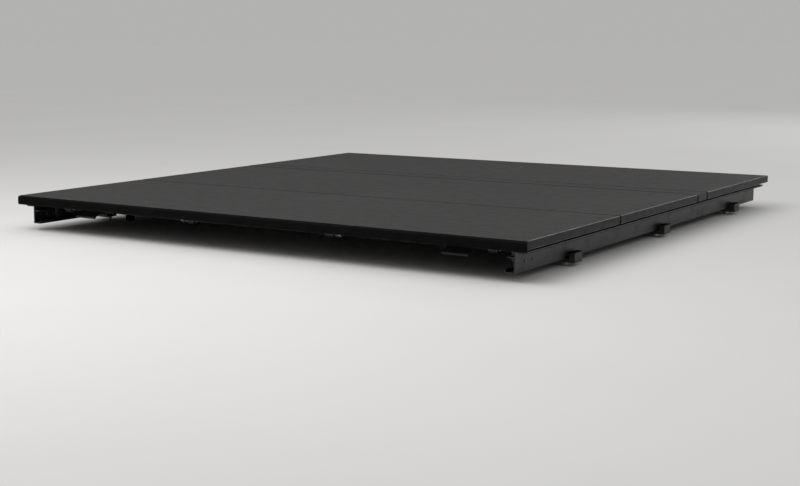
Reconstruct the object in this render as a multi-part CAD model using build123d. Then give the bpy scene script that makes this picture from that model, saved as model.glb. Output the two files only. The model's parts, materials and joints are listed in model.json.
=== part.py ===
from build123d import *
import os

# Hard tri-fold tonneau cover for a pickup bed, mounted inside the bed on two clamped side rails.
#
# Three rigid sandwich panels are joined by full-width rubber hinges.  The rear panel folds over onto the
# middle panel, and the pair then folds over onto the front panel.  Between the middle and front panels a
# narrow hinge bar sits between two parallel hinges, so the folded pair has room above the front panel.
# The rear panel is held shut by two claws on one release rod; the front panel is held by two toe clamps.
#
# Frame: millimetres, +X to the right, +Y forward towards the cab, +Z up.  The origin is midway along and
# across the panels, on the plane where the side rails sit on the bed.

# ---------------------------------------------------------------- driving sizes
COVER_WIDTH = 1650.0          # outside of one side trim to outside of the other
REAR_LENGTH = 538.0           # rear edge of the rear panel to the rear hinge axis
MIDDLE_LENGTH = 574.0         # rear hinge axis to middle hinge axis
BAR_LENGTH = 78.0             # middle hinge axis to front hinge axis: the double hinge
FRONT_LENGTH = 580.0          # front hinge axis to the front edge
PANEL_THICKNESS = 22.0
TOP_SKIN = 0.9
BOTTOM_SKIN = 0.7

TRIM_WALL = 2.5               # upright wall of a side trim or cross rail
FLANGE_WALL = 1.5             # flanges that hold the sandwich
FLANGE_REACH = 13.5           # how far the flanges reach in from the upright wall
TRIM_ROUND = 2.0              # outside edges of the side trims
END_CAP = 1.5                 # plastic cap on each end of a side trim
RIVET_SHANK = 2.2
RIVET_HEAD = 4.2
RIVET_HEAD_HEIGHT = 1.4
RIVET_HEAD_ROUND = 1.0
HOLE_CLEARANCE = 0.1          # radius of a hole over that of its rivet or screw
RIVET_END_INSET = 20.0        # end of a trim to its first rivet
RIVET_SPACING = 40.0          # first rivet to the second
PAST = 1.0                    # how far a cut runs past the face that it opens

HINGE_GAP = 9.0               # between the faces of two panels at a hinge
SOCKET_BORE = 3.0
SOCKET_WALL = 1.6
SOCKET_INSET = 6.0            # panel face to the socket's centre
SOCKET_DROP = 6.7             # top face to the socket's centre
SOCKET_MOUTH = 2.6
BULB_CLEARANCE = 0.1
STRIP_NECK = 2.0
STRIP_WALL = 1.2
STRIP_DROP = 0.6              # top face to the top of the rubber arch

BAR_WALL = 2.2
BAR_PLUG = 3.0                # thickness of the plastic cap on each end of the hinge bar
BAR_PLUG_DEPTH = 15.0         # how far the cap's plug goes into the bar

TAPE_THICKNESS = 1.5          # foam tape under the rail flange
TAPE_WIDTH = 27.0
RAIL_WALL = 3.0
RAIL_FLANGE_WIDTH = 32.0      # web's inner face to the flange's outer edge
RAIL_FLANGE_INSET = 10.0      # flange's outer edge inside the cover's outer face
RAIL_WEB_DEPTH = 47.5         # flange underside to the top of the channel floor
LEDGE_DEPTH = 11.5            # flange underside to the top of the ledge
LEDGE_WIDTH = 18.0
CHANNEL_WIDTH = 23.0
CHANNEL_LIP = 6.0
CHANNEL_LIP_WALL = 2.0
RAIL_SETBACK = 20.0           # rail ends inside the cover's front and rear edges
RAIL_CAP = 3.0
SEAL_BASE_WIDTH = 10.0
SEAL_BASE = 1.5
SEAL_BULB = 3.2
SEAL_WALL = 1.0
SEAL_GAP = 0.3                # free space between a seal and the panel above it

CLAMP_SPACING = 600.0
CLAMPS_PER_SIDE = 3
CLAMP_SHIFT = 40.0            # middle clamp forward of the centre
CLAMP_WIDTH = 44.0
CLAMP_BOLT = 5.0              # radius of the clamp bolt
CLAMP_BOLT_INSET = 12.0       # web's inner face to the bolt's axis
BOLT_CLEARANCE = 0.3
BRACKET_GAP = 5.0             # rail's ledge to the bracket
JAW_PLATE = 8.0
JAW_FINGER = 16.0
JAW_HEEL = 4.0
JAW_HEEL_WIDTH = 5.0
JAW_ROUND = 2.0
BRACKET_CHAMFER = 2.0
BED_LIP = 34.0                # bed lip that the jaws grip, tape to pad
PAD_THICKNESS = 2.0
WASHER = 2.0
WASHER_RADIUS = 10.0
BOLT_RECESS = 2.0             # bolt's end below the bracket's top
BOLT_HEAD = 6.5
BOLT_HEX = 9.2                # corner radius of the hexagon

ROD_RADIUS = 6.0
ROD_INSET = 85.0              # rear edge to the release rod's axis
ROD_DROP = 15.0               # panel underside to the rod's axis
ROD_RUNNING = 0.06            # radial running clearance of the rod in its bushes
BUSH_WALL = 2.0
BLOCK_WALL = 6.0
BLOCK_WIDTH = 26.0
BLOCK_BASE = 4.0
BLOCK_BASE_LENGTH = 66.0
BLOCK_INSET = 83.0            # rail's web to the outer bearing blocks
BLOCK_INNER = 230.0           # centre line to the inner bearing blocks
SCREW_RADIUS = 2.4
SCREW_HEAD = 4.6
SCREW_HEAD_HEIGHT = 3.0
SCREW_SOCKET = 2.3            # corner radius of the hexagon socket in a screw's head
SCREW_SOCKET_DEPTH = 1.8
SCREW_DEPTH = 9.0             # screw's reach into the sandwich
SCREW_INSET = 7.0             # screw axis to the end of the base
CLAW_INSET = 31.0             # rail's web to the claw
CLAW_WIDTH = 6.0
CLAW_RAMP = 4.0               # back of the hook to the top of the ramp under it
ROD_END = 2.0                 # rod's end past the claw
HUB_RADIUS = 11.0
STRIKER_RADIUS = 4.0
STRIKER_OFFSET = (6.0, -22.0) # rod axis to striker axis, forward and up
CLAW_GAP = 0.4                # striker to the claw's hook
STRIKER_HEAD = 2.0
STRIKER_RIM = 2.0             # how far the heads of the pin and rivets stand out past their shanks
PADDLE_INSET = 173.0          # rail's web to the middle of the paddle
PADDLE_WIDTH = 72.0
PADDLE_REACH = 36.0
PADDLE_PLATE = 4.0
PADDLE_HUB = 10.0
SPRING_GAP = 1.5              # bearing block to the coil's first turn
SPRING_WIRE = 0.8             # wire radius
SPRING_BEND = 1.6             # centre-line radius of the bend into the collar
SPRING_LEG_GAP = 0.8          # end of the upright leg to the panel
SPRING_COIL = 8.6
SPRING_TURNS = 5
SPRING_PITCH = 2.2
COLLAR_WIDTH = 8.0
COLLAR_WALL = 3.0             # coil's centre line to the outside of the collar
COLLAR_GAP = 2.0              # last turn to the collar
CLAW_TIP = 3.0                # hook's reach past the striker's axis, and its thickness there
CLAW_HOOK = 7.0               # hook's thickness below the striker
PADDLE_SLOPE = 30.0           # how far the paddle hangs below level at rest, degrees
STRIKER_PLATE = 56.0
STRIKER_HALF = 11.5
STRIKER_PLATE_WALL = 4.0
STRIKER_OVERLAP = 4.0         # pin's reach past the claw
STRIKER_RIVET = 2.4
STRIKER_RIVET_INSET = 8.0     # plate's end to its rivet
STRIKER_RIVET_HEAD = 2.0
STRIKER_RIVET_TAIL = 1.2      # closed end of the rivet, outside the web
FOOT_BASE = 17.0
FOOT_TIP = 12.0
FOOT_ROUND = 2.5
FOOT_GAP = 0.6                # foot to the front panel when everything is folded
FOOT_X = 560.0
FOOT_REAR_INSET = 190.0       # rear edge to the rear feet
FOOT_FRONT_INSET = 90.0       # rear hinge axis to the front feet

STUD_INSET = 87.0             # cover's outer face to the toe clamp's stud
CLAMP_FRONT_INSET = 90.0      # front edge to the toe clamp's stud
STUD_RADIUS = 4.0
STUD_FLANGE = 7.0
STUD_FLANGE_WALL = 2.0
TOE_WIDTH = 24.0
TOE_BAR = 8.0
TOE_STEP = 4.0                # how far toe and heel stand above the bar
TOE_GAP = 0.2
TOE_ENGAGE = 9.0              # toe's reach under the ledge
HEEL_REACH = 24.0
HEEL_WIDTH = 9.0
HEEL_ROUND = 3.0
HOLD_PLATE = 3.0
KNOB_RADIUS = 18.0
KNOB_LOBES = 5
KNOB_LOBE = 7.0
KNOB_BODY = 12.0              # radius between the lobes
KNOB_ROUND = 1.5
KNOB_HEIGHT = 17.0
KNOB_COLLAR = 5.0
KNOB_FLOOR = 3.0
STUD_REACH = 11.0             # stud's end below the top of the knob
HEEL_GAP = 0.4
HOLD_HALF = 34.0              # half of the plate across the cover
HOLD_LENGTH = 30.0            # half of the plate along the cover
HOLD_SCREW_INSET = 9.0
HOLD_ROUND = 6.0

TAIL_SEAL_BULGE = 8.0
TAIL_SEAL_BACK = 2.0
TAIL_SEAL_LIP = 5.0           # how far the lip hangs below the panel
TAIL_SEAL_TOP_GAP = 1.5       # top face to the top of the seal
BARB = 4.0
BARB_HEIGHT = 2.0
FRONT_SEAL_RADIUS = 4.8
FRONT_SEAL_INSET = 13.0

# ---------------------------------------------------------------- places that follow from them
HALF_WIDTH = COVER_WIDTH / 2
COVER_LENGTH = REAR_LENGTH + MIDDLE_LENGTH + BAR_LENGTH + FRONT_LENGTH
REAR_EDGE = -COVER_LENGTH / 2
FRONT_EDGE = COVER_LENGTH / 2
REAR_AXIS = REAR_EDGE + REAR_LENGTH
MIDDLE_AXIS = REAR_AXIS + MIDDLE_LENGTH
FRONT_AXIS = MIDDLE_AXIS + BAR_LENGTH

RIVET_HOLE = RIVET_SHANK + HOLE_CLEARANCE
SCREW_HOLE = SCREW_RADIUS + HOLE_CLEARANCE
FLANGE_BOTTOM = TAPE_THICKNESS
FLANGE_TOP = FLANGE_BOTTOM + RAIL_WALL
SEAL_TOP = FLANGE_TOP + SEAL_BASE - SEAL_WALL + 2 * SEAL_BULB
PANEL_BOTTOM = SEAL_TOP + SEAL_GAP
PANEL_TOP = PANEL_BOTTOM + PANEL_THICKNESS
PANEL_MID = (PANEL_BOTTOM + PANEL_TOP) / 2
SOCKET_Z = PANEL_TOP - SOCKET_DROP
SOCKET_OUTER = SOCKET_BORE + SOCKET_WALL
RAIL_END = HALF_WIDTH - TRIM_WALL - FLANGE_REACH      # cross rails stop at the side trims' flanges
POCKET_DEPTH = TRIM_WALL + BARB + BULB_CLEARANCE
POCKET_HALF = BARB_HEIGHT / 2 + BULB_CLEARANCE

RAIL_OUTER = HALF_WIDTH - RAIL_FLANGE_INSET
WEB_INNER = RAIL_OUTER - RAIL_FLANGE_WIDTH
WEB_OUTER = WEB_INNER + RAIL_WALL
LEDGE_TOP = FLANGE_BOTTOM - LEDGE_DEPTH
LEDGE_BOTTOM = LEDGE_TOP - RAIL_WALL
CHANNEL_TOP = FLANGE_BOTTOM - RAIL_WEB_DEPTH
CHANNEL_BOTTOM = CHANNEL_TOP - RAIL_WALL
CHANNEL_INNER = WEB_INNER - CHANNEL_WIDTH
RAIL_REAR = REAR_EDGE + RAIL_SETBACK
RAIL_FRONT = FRONT_EDGE - RAIL_SETBACK
SEAL_X = (WEB_OUTER + RAIL_OUTER) / 2

BLOCK_OUTER = WEB_INNER - BLOCK_INSET
BLOCK_PLACES = (-BLOCK_OUTER, -BLOCK_INNER, BLOCK_INNER, BLOCK_OUTER)
CLAW_PLACE = WEB_INNER - CLAW_INSET
PADDLE_PLACE = WEB_INNER - PADDLE_INSET
BRACKET_TOP = LEDGE_BOTTOM - BRACKET_GAP

CLAMP_Y = [CLAMP_SHIFT + (i - (CLAMPS_PER_SIDE - 1) / 2) * CLAMP_SPACING for i in range(CLAMPS_PER_SIDE)]
CLAMP_BOLT_X = WEB_INNER - CLAMP_BOLT_INSET
ROD_Y = REAR_EDGE + ROD_INSET
ROD_Z = PANEL_BOTTOM - ROD_DROP
STRIKER_Y = ROD_Y + STRIKER_OFFSET[0]
STRIKER_Z = ROD_Z + STRIKER_OFFSET[1]
STUD_X = HALF_WIDTH - STUD_INSET
STUD_Y = FRONT_EDGE - CLAMP_FRONT_INSET
STRIKER_RIVET_Y = [STRIKER_Y + side * (STRIKER_PLATE / 2 - STRIKER_RIVET_INSET) for side in (-1, 1)]
BLOCK_SCREW_Y = [ROD_Y + side * (BLOCK_BASE_LENGTH / 2 - SCREW_INSET) for side in (-1, 1)]
BLOCK_SCREWS = [(x, y) for x in BLOCK_PLACES for y in BLOCK_SCREW_Y]
HOLD_SCREWS = [(STUD_X + i * (HOLD_HALF - HOLD_SCREW_INSET), STUD_Y + j * (HOLD_LENGTH - HOLD_SCREW_INSET))
               for i in (-1, 1) for j in (-1, 1)]
SPRING_PLACE = BLOCK_INNER + BLOCK_WIDTH / 2 + SPRING_GAP
COLLAR_PLACE = SPRING_PLACE + SPRING_TURNS * SPRING_PITCH + COLLAR_GAP
FOOT_REAR_Y = REAR_EDGE + FOOT_REAR_INSET
FOOT_FRONT_Y = REAR_AXIS - FOOT_FRONT_INSET


# ---------------------------------------------------------------- small tools
def rect(u0, u1, v0, v1):
    """Rectangle between two corners of a sketch plane."""
    return Pos((u0 + u1) / 2, (v0 + v1) / 2) * Rectangle(abs(u1 - u0), abs(v1 - v0))


def disc(u, v, radius):
    """Circle at a point of a sketch plane."""
    return Pos(u, v) * Circle(radius)


def along_x(profile, x0, x1):
    """Extrudes a (y, z) profile from x0 to x1."""
    return extrude(Plane(origin=(x0, 0, 0), x_dir=(0, 1, 0), z_dir=(1, 0, 0)) * profile, amount=x1 - x0)


def along_y(profile, y0, y1):
    """Extrudes an (x, z) profile from y0 to y1."""
    return extrude(Plane(origin=(0, y0, 0), x_dir=(1, 0, 0), z_dir=(0, -1, 0)) * profile, amount=y0 - y1)


def upright(profile, z0, z1):
    """Extrudes an (x, y) profile from z0 to z1."""
    return extrude(Plane(origin=(0, 0, z0)) * profile, amount=z1 - z0)


def block(x0, x1, y0, y1, z0, z1):
    return upright(rect(x0, x1, y0, y1), z0, z1)


def pin(x, y, radius, z0, z1):
    """Round pin or hole along Z."""
    return upright(disc(x, y, radius), z0, z1)


def other_side(shape):
    """The same piece on the left side."""
    return mirror(shape, about=Plane.YZ)


def save(name, *shapes):
    """Writes one sub-part, as one solid or as a group of separate solids."""
    solids = [solid for shape in shapes for solid in shape.solids()]
    export_step(solids[0] if len(solids) == 1 else Compound(children=solids), f"parts/{name}.step")


def save_pair(name, right):
    save(f"{name}_right", right)
    save(f"{name}_left", other_side(right))


# ---------------------------------------------------------------- panel frames
def cross_rail_profile(face, inward, socket, slot):
    """(y, z) profile of a cross rail with its outer face at y = face; inward is +1 or -1.

    socket adds the round socket of a rubber hinge, slot the pocket for the tailgate seal's barb.
    """
    def span(a, b, z0, z1):
        return rect(face + inward * a, face + inward * b, z0, z1)

    reach = TRIM_WALL + FLANGE_REACH
    flange_top = PANEL_TOP - TOP_SKIN
    profile = span(0, TRIM_WALL, PANEL_BOTTOM, PANEL_TOP)
    profile += span(0, reach, flange_top - FLANGE_WALL, flange_top)
    profile += span(0, reach, PANEL_BOTTOM, PANEL_BOTTOM + FLANGE_WALL)
    if socket:
        centre = face + inward * SOCKET_INSET
        profile += disc(centre, SOCKET_Z, SOCKET_OUTER)
        profile -= disc(centre, SOCKET_Z, SOCKET_BORE)
        profile -= span(-PAST, SOCKET_INSET, SOCKET_Z - SOCKET_MOUTH / 2, SOCKET_Z + SOCKET_MOUTH / 2)
    if slot:
        outer = POCKET_HALF + SOCKET_WALL
        profile += span(0, POCKET_DEPTH + SOCKET_WALL, PANEL_MID - outer, PANEL_MID + outer)
        profile -= span(-PAST, POCKET_DEPTH, PANEL_MID - POCKET_HALF, PANEL_MID + POCKET_HALF)
    return profile


def side_trim_profile():
    """(x, z) profile of the right side trim: a channel with rounded outside edges."""
    wall = rect(HALF_WIDTH - TRIM_WALL, HALF_WIDTH, PANEL_BOTTOM, PANEL_TOP)
    wall = fillet(wall.vertices().sort_by(Axis.X)[-2:], TRIM_ROUND)
    inner = HALF_WIDTH - TRIM_WALL - FLANGE_REACH
    flange_top = PANEL_TOP - TOP_SKIN
    wall += rect(inner, HALF_WIDTH - TRIM_WALL, flange_top - FLANGE_WALL, flange_top)
    wall += rect(inner, HALF_WIDTH - TRIM_WALL, PANEL_BOTTOM, PANEL_BOTTOM + FLANGE_WALL)
    return wall


def end_cap_profile():
    """(x, z) outline of the cap that closes an end of a side trim."""
    cap = rect(HALF_WIDTH - TRIM_WALL - FLANGE_REACH, HALF_WIDTH, PANEL_BOTTOM, PANEL_TOP)
    return fillet(cap.vertices().sort_by(Axis.X)[-2:], TRIM_ROUND)


def panel(name, rear_face, front_face, rear_socket, front_socket, slot=False, holes=()):
    """Writes the pieces of one sandwich panel; holes are the places of the screws that enter it."""
    rear_rail = along_x(cross_rail_profile(rear_face, 1, rear_socket, slot), -RAIL_END, RAIL_END)
    front_rail = along_x(cross_rail_profile(front_face, -1, front_socket, False), -RAIL_END, RAIL_END)
    trim = along_y(side_trim_profile(), rear_face + END_CAP, front_face - END_CAP)
    caps = [along_y(end_cap_profile(), rear_face, rear_face + END_CAP),
            along_y(end_cap_profile(), front_face - END_CAP, front_face)]

    # rivets through the trims' lower flanges, two near each corner and one midway
    skin_low = PANEL_BOTTOM + FLANGE_WALL
    rivet_x = HALF_WIDTH - TRIM_WALL - FLANGE_REACH / 2
    insets = (RIVET_END_INSET, RIVET_END_INSET + RIVET_SPACING)
    rivet_ys = [rear_face + inset for inset in insets] + [front_face - inset for inset in insets]
    rivet_ys.append((rear_face + front_face) / 2)
    rivets = []
    for y in rivet_ys:
        trim -= pin(rivet_x, y, RIVET_HOLE, PANEL_BOTTOM - PAST, skin_low + PAST)
        head = pin(rivet_x, y, RIVET_HEAD, PANEL_BOTTOM - RIVET_HEAD_HEIGHT, PANEL_BOTTOM)
        head = fillet(head.faces().sort_by(Axis.Z)[0].edges(), RIVET_HEAD_ROUND)
        rivets.append(head + pin(rivet_x, y, RIVET_SHANK, PANEL_BOTTOM, skin_low + BOTTOM_SKIN))

    # skins and core fill the space between the upright walls
    x1 = HALF_WIDTH - TRIM_WALL
    y0 = rear_face + TRIM_WALL
    y1 = front_face - TRIM_WALL
    top_skin = block(-x1, x1, y0, y1, PANEL_TOP - TOP_SKIN, PANEL_TOP)
    bottom_skin = block(-x1, x1, y0, y1, skin_low, skin_low + BOTTOM_SKIN)
    core = block(-x1, x1, y0, y1, skin_low + BOTTOM_SKIN, PANEL_TOP - TOP_SKIN)
    core -= Compound([rear_rail, front_rail, trim, other_side(trim)] + caps + [other_side(c) for c in caps])
    for face, inward, socket in ((rear_face, 1, rear_socket), (front_face, -1, front_socket)):
        if socket:
            round_wall = disc(face + inward * SOCKET_INSET, SOCKET_Z, SOCKET_OUTER)
            core -= along_x(round_wall, -HALF_WIDTH, HALF_WIDTH)
    if slot:
        pocket = rect(rear_face, rear_face + POCKET_DEPTH, PANEL_MID - POCKET_HALF, PANEL_MID + POCKET_HALF)
        core -= along_x(pocket, -x1, x1)
    for y in rivet_ys:
        for side in (-1, 1):
            hole = pin(side * rivet_x, y, RIVET_HOLE, PANEL_BOTTOM, skin_low + BOTTOM_SKIN)
            bottom_skin -= hole
    for x, y in holes:
        hole = pin(x, y, SCREW_HOLE, PANEL_BOTTOM - PAST, PANEL_BOTTOM + SCREW_DEPTH + PAST)
        bottom_skin -= hole
        core -= hole

    save(f"{name}_rear_rail", rear_rail)
    save(f"{name}_front_rail", front_rail)
    save(f"{name}_side_trims", trim, other_side(trim))
    save(f"{name}_trim_caps", *caps, *[other_side(c) for c in caps])
    save(f"{name}_rivets", *rivets, *[other_side(r) for r in rivets])
    save(f"{name}_top_skin", top_skin)
    save(f"{name}_bottom_skin", bottom_skin)
    save(f"{name}_core", max(core.solids(), key=lambda s: s.volume))


# ---------------------------------------------------------------- hinges
def hinge_strip(axis_y):
    """Rubber hinge: a bulb in each panel's socket and an arch that bridges the gap."""
    low = SOCKET_Z - STRIP_NECK / 2
    half_gap = HINGE_GAP / 2
    leg = half_gap - BULB_CLEARANCE
    top = PANEL_TOP - STRIP_DROP
    profile = rect(axis_y - half_gap - SOCKET_INSET, axis_y + half_gap + SOCKET_INSET, low, low + STRIP_NECK)
    profile += rect(axis_y - leg, axis_y + leg, low, top)
    profile -= rect(axis_y - leg + STRIP_WALL, axis_y + leg - STRIP_WALL, low - PAST, top - STRIP_WALL)
    for side in (-1, 1):
        profile += disc(axis_y + side * (half_gap + SOCKET_INSET), SOCKET_Z, SOCKET_BORE - BULB_CLEARANCE)
    return along_x(profile, -RAIL_END, RAIL_END)


def hinge_bar():
    """Hollow bar between the two hinges of the double fold, with a socket in each long side."""
    rear_face = MIDDLE_AXIS + HINGE_GAP / 2
    front_face = FRONT_AXIS - HINGE_GAP / 2
    inside = rect(rear_face + BAR_WALL, front_face - BAR_WALL, PANEL_BOTTOM + BAR_WALL, PANEL_TOP - BAR_WALL)
    profile = rect(rear_face, front_face, PANEL_BOTTOM, PANEL_TOP) - inside
    for face, inward in ((rear_face, 1), (front_face, -1)):
        centre = face + inward * SOCKET_INSET
        profile += disc(centre, SOCKET_Z, SOCKET_OUTER)
        profile -= disc(centre, SOCKET_Z, SOCKET_BORE)
        profile -= rect(face - inward, centre, SOCKET_Z - SOCKET_MOUTH / 2, SOCKET_Z + SOCKET_MOUTH / 2)
    end = HALF_WIDTH - BAR_PLUG
    save("hinge_bar_extrusion", along_x(profile, -end, end))

    cap_outline = rect(rear_face, front_face, PANEL_BOTTOM, PANEL_TOP)
    core_reach = SOCKET_INSET + SOCKET_OUTER + BAR_PLUG
    plug_outline = rect(rear_face + core_reach, front_face - core_reach,
                        PANEL_BOTTOM + BAR_WALL, PANEL_TOP - BAR_WALL)
    plug = along_x(cap_outline, end, HALF_WIDTH) + along_x(plug_outline, end - BAR_PLUG_DEPTH, end)
    save("hinge_bar_caps", plug, other_side(plug))


# ---------------------------------------------------------------- seals
def tailgate_seal():
    """Rubber section on the rear panel's face: a barb in the slot, a rounded face and a drooping lip."""
    top = PANEL_TOP - TAIL_SEAL_TOP_GAP
    bottom = PANEL_BOTTOM - TAIL_SEAL_LIP
    body = rect(REAR_EDGE - TAIL_SEAL_BULGE, REAR_EDGE, bottom, top)
    body = fillet(body.vertices().sort_by(Axis.X)[:2], TAIL_SEAL_BULGE - TAIL_SEAL_BACK)
    hollow = rect(REAR_EDGE - TAIL_SEAL_BULGE + TAIL_SEAL_BACK, REAR_EDGE - TAIL_SEAL_BACK,
                  bottom + TAIL_SEAL_BULGE, top - TAIL_SEAL_BULGE)
    barb = rect(REAR_EDGE - TAIL_SEAL_BACK, REAR_EDGE + TRIM_WALL + BARB,
                PANEL_MID - BARB_HEIGHT / 2, PANEL_MID + BARB_HEIGHT / 2)
    return along_x(body - hollow, -HALF_WIDTH, HALF_WIDTH) + along_x(barb, -RAIL_END, RAIL_END)


def front_seal():
    """Bulb seal under the front edge that presses on the front wall of the bed."""
    centre = FRONT_EDGE - FRONT_SEAL_INSET
    centre_z = PANEL_BOTTOM - SEAL_BASE - FRONT_SEAL_RADIUS + SEAL_WALL
    bulb = disc(centre, centre_z, FRONT_SEAL_RADIUS)
    hole = disc(centre, centre_z, FRONT_SEAL_RADIUS - SEAL_WALL)
    half = SEAL_BASE_WIDTH / 2
    base = rect(centre - half, centre + half, PANEL_BOTTOM - SEAL_BASE, PANEL_BOTTOM)
    return along_x(base + bulb - hole, -CHANNEL_INNER, CHANNEL_INNER)


def rail_seal():
    centre_z = FLANGE_TOP + SEAL_BASE - SEAL_WALL + SEAL_BULB
    half = SEAL_BASE_WIDTH / 2
    profile = rect(SEAL_X - half, SEAL_X + half, FLANGE_TOP, FLANGE_TOP + SEAL_BASE)
    profile += disc(SEAL_X, centre_z, SEAL_BULB)
    profile -= disc(SEAL_X, centre_z, SEAL_BULB - SEAL_WALL)
    return along_y(profile, RAIL_REAR, RAIL_FRONT)


# ---------------------------------------------------------------- side rails and their clamps
def rail_profile():
    """(x, z) profile of the right rail: seat flange, web, inner ledge and clamp channel."""
    profile = rect(WEB_INNER, RAIL_OUTER, FLANGE_BOTTOM, FLANGE_TOP)
    profile += rect(WEB_INNER, WEB_OUTER, CHANNEL_BOTTOM, FLANGE_TOP)
    profile += rect(WEB_INNER - LEDGE_WIDTH, WEB_OUTER, LEDGE_BOTTOM, LEDGE_TOP)
    profile += rect(CHANNEL_INNER, WEB_OUTER, CHANNEL_BOTTOM, CHANNEL_TOP)
    lip_x = CHANNEL_INNER + CHANNEL_LIP_WALL
    return profile + rect(CHANNEL_INNER, lip_x, CHANNEL_BOTTOM, CHANNEL_TOP + CHANNEL_LIP)


def rail():
    body = along_y(rail_profile(), RAIL_REAR, RAIL_FRONT)
    for y in CLAMP_Y:
        body -= pin(CLAMP_BOLT_X, y, CLAMP_BOLT + BOLT_CLEARANCE, CHANNEL_BOTTOM - PAST, CHANNEL_TOP + PAST)
    for y in STRIKER_RIVET_Y:
        body -= along_x(disc(y, STRIKER_Z, STRIKER_RIVET), WEB_INNER - PAST, WEB_OUTER + PAST)
    return body


def rail_cap(y):
    """Plastic cap from y forwards that covers one end of a rail, following its outline."""
    return along_y(rail_profile(), y, y + RAIL_CAP)


def rail_tape():
    return block(RAIL_OUTER - TAPE_WIDTH, RAIL_OUTER, RAIL_REAR, RAIL_FRONT, 0, TAPE_THICKNESS)


JAW_PLATE_TOP = CHANNEL_BOTTOM - JAW_HEEL
JAW_PLATE_BOTTOM = JAW_PLATE_TOP - JAW_PLATE
JAW_FINGER_X = WEB_OUTER + JAW_HEEL
PAD_TOP = -BED_LIP


def clamp_bracket(y):
    """Threaded block that sits in the rail's channel."""
    half = CLAMP_WIDTH / 2
    body = block(CHANNEL_INNER + CHANNEL_LIP_WALL, WEB_INNER, y - half, y + half,
                 CHANNEL_TOP, BRACKET_TOP)
    body = chamfer(body.edges().filter_by(Axis.Y).sort_by(Axis.Z)[-2:], BRACKET_CHAMFER)
    return body - pin(CLAMP_BOLT_X, y, CLAMP_BOLT, CHANNEL_TOP - PAST, BRACKET_TOP + PAST)


def clamp_jaw(y):
    """Jaw under the rail: a plate, a heel under the channel and a finger that rises behind the bed lip."""
    finger_top = PAD_TOP - PAD_THICKNESS
    outer = JAW_FINGER_X + JAW_FINGER
    profile = rect(CHANNEL_INNER, outer, JAW_PLATE_BOTTOM, JAW_PLATE_TOP)
    profile += rect(CHANNEL_INNER, CHANNEL_INNER + JAW_HEEL_WIDTH, JAW_PLATE_TOP, CHANNEL_BOTTOM)
    profile += rect(JAW_FINGER_X, outer, JAW_PLATE_TOP, finger_top)
    half = CLAMP_WIDTH / 2
    body = along_y(profile, y - half, y + half)
    body = fillet(body.edges().filter_by(Axis.Y).group_by(Axis.Z)[0], JAW_ROUND)
    hole = pin(CLAMP_BOLT_X, y, CLAMP_BOLT + BOLT_CLEARANCE, JAW_PLATE_BOTTOM - PAST, JAW_PLATE_TOP + PAST)
    return body - hole


def clamp_pad(y):
    half = CLAMP_WIDTH / 2
    outer = JAW_FINGER_X + JAW_FINGER
    return block(JAW_FINGER_X, outer, y - half, y + half, PAD_TOP - PAD_THICKNESS, PAD_TOP)


def clamp_bolt(y):
    """Hexagon-head bolt that draws the jaw up, with its end inside the bracket."""
    head_top = JAW_PLATE_BOTTOM - WASHER
    end = BRACKET_TOP - BOLT_RECESS
    hexagon = Pos(CLAMP_BOLT_X, y) * RegularPolygon(BOLT_HEX, 6)
    head = upright(hexagon, head_top - BOLT_HEAD, head_top)
    return head + pin(CLAMP_BOLT_X, y, CLAMP_BOLT, head_top, end)


def clamp_washer(y):
    ring = disc(CLAMP_BOLT_X, y, WASHER_RADIUS) - disc(CLAMP_BOLT_X, y, CLAMP_BOLT + BOLT_CLEARANCE)
    return upright(ring, JAW_PLATE_BOTTOM - WASHER, JAW_PLATE_BOTTOM)


def save_rails():
    save_pair("rail", rail())
    caps = [rail_cap(RAIL_REAR - RAIL_CAP), rail_cap(RAIL_FRONT)]
    save("rail_caps", *caps, *[other_side(cap) for cap in caps])
    save("rail_tapes", rail_tape(), other_side(rail_tape()))
    save("rail_seals", rail_seal(), other_side(rail_seal()))
    makers = {"clamp_brackets": clamp_bracket, "clamp_jaws": clamp_jaw, "clamp_pads": clamp_pad,
              "clamp_bolts": clamp_bolt, "clamp_washers": clamp_washer}
    for name, make in makers.items():
        right = [make(y) for y in CLAMP_Y]
        save(name, *right, *[other_side(piece) for piece in right])


# ---------------------------------------------------------------- release rod under the rear panel
def screw(x, y, seat):
    """Socket screw that enters the panel from below, with its head under z = seat."""
    low = seat - SCREW_HEAD_HEIGHT
    head = pin(x, y, SCREW_HEAD, low, seat)
    head = fillet(head.faces().sort_by(Axis.Z)[0].edges(), SCREW_HEAD_HEIGHT / 2)
    head -= upright(Pos(x, y) * RegularPolygon(SCREW_SOCKET, 6), low - PAST, low + SCREW_SOCKET_DEPTH)
    return head + pin(x, y, SCREW_RADIUS, seat, PANEL_BOTTOM + SCREW_DEPTH)


def bearing_block(x):
    half = BLOCK_WIDTH / 2
    bore = ROD_RADIUS + ROD_RUNNING + BUSH_WALL
    outer = bore + BLOCK_WALL
    base_half = BLOCK_BASE_LENGTH / 2
    profile = rect(ROD_Y - base_half, ROD_Y + base_half, PANEL_BOTTOM - BLOCK_BASE, PANEL_BOTTOM)
    profile += rect(ROD_Y - outer, ROD_Y + outer, ROD_Z, PANEL_BOTTOM - BLOCK_BASE)
    profile += disc(ROD_Y, ROD_Z, outer)
    profile -= disc(ROD_Y, ROD_Z, bore)
    body = along_x(profile, x - half, x + half)
    for y in BLOCK_SCREW_Y:
        body -= pin(x, y, SCREW_HOLE, PANEL_BOTTOM - BLOCK_BASE - PAST, PANEL_BOTTOM + PAST)
    return body


def bush(x):
    inner = ROD_RADIUS + ROD_RUNNING
    half = BLOCK_WIDTH / 2
    return along_x(disc(ROD_Y, ROD_Z, inner + BUSH_WALL) - disc(ROD_Y, ROD_Z, inner), x - half, x + half)


def release_rod():
    end = CLAW_PLACE + CLAW_WIDTH / 2 + ROD_END
    return along_x(disc(ROD_Y, ROD_Z, ROD_RADIUS), -end, end)


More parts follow.
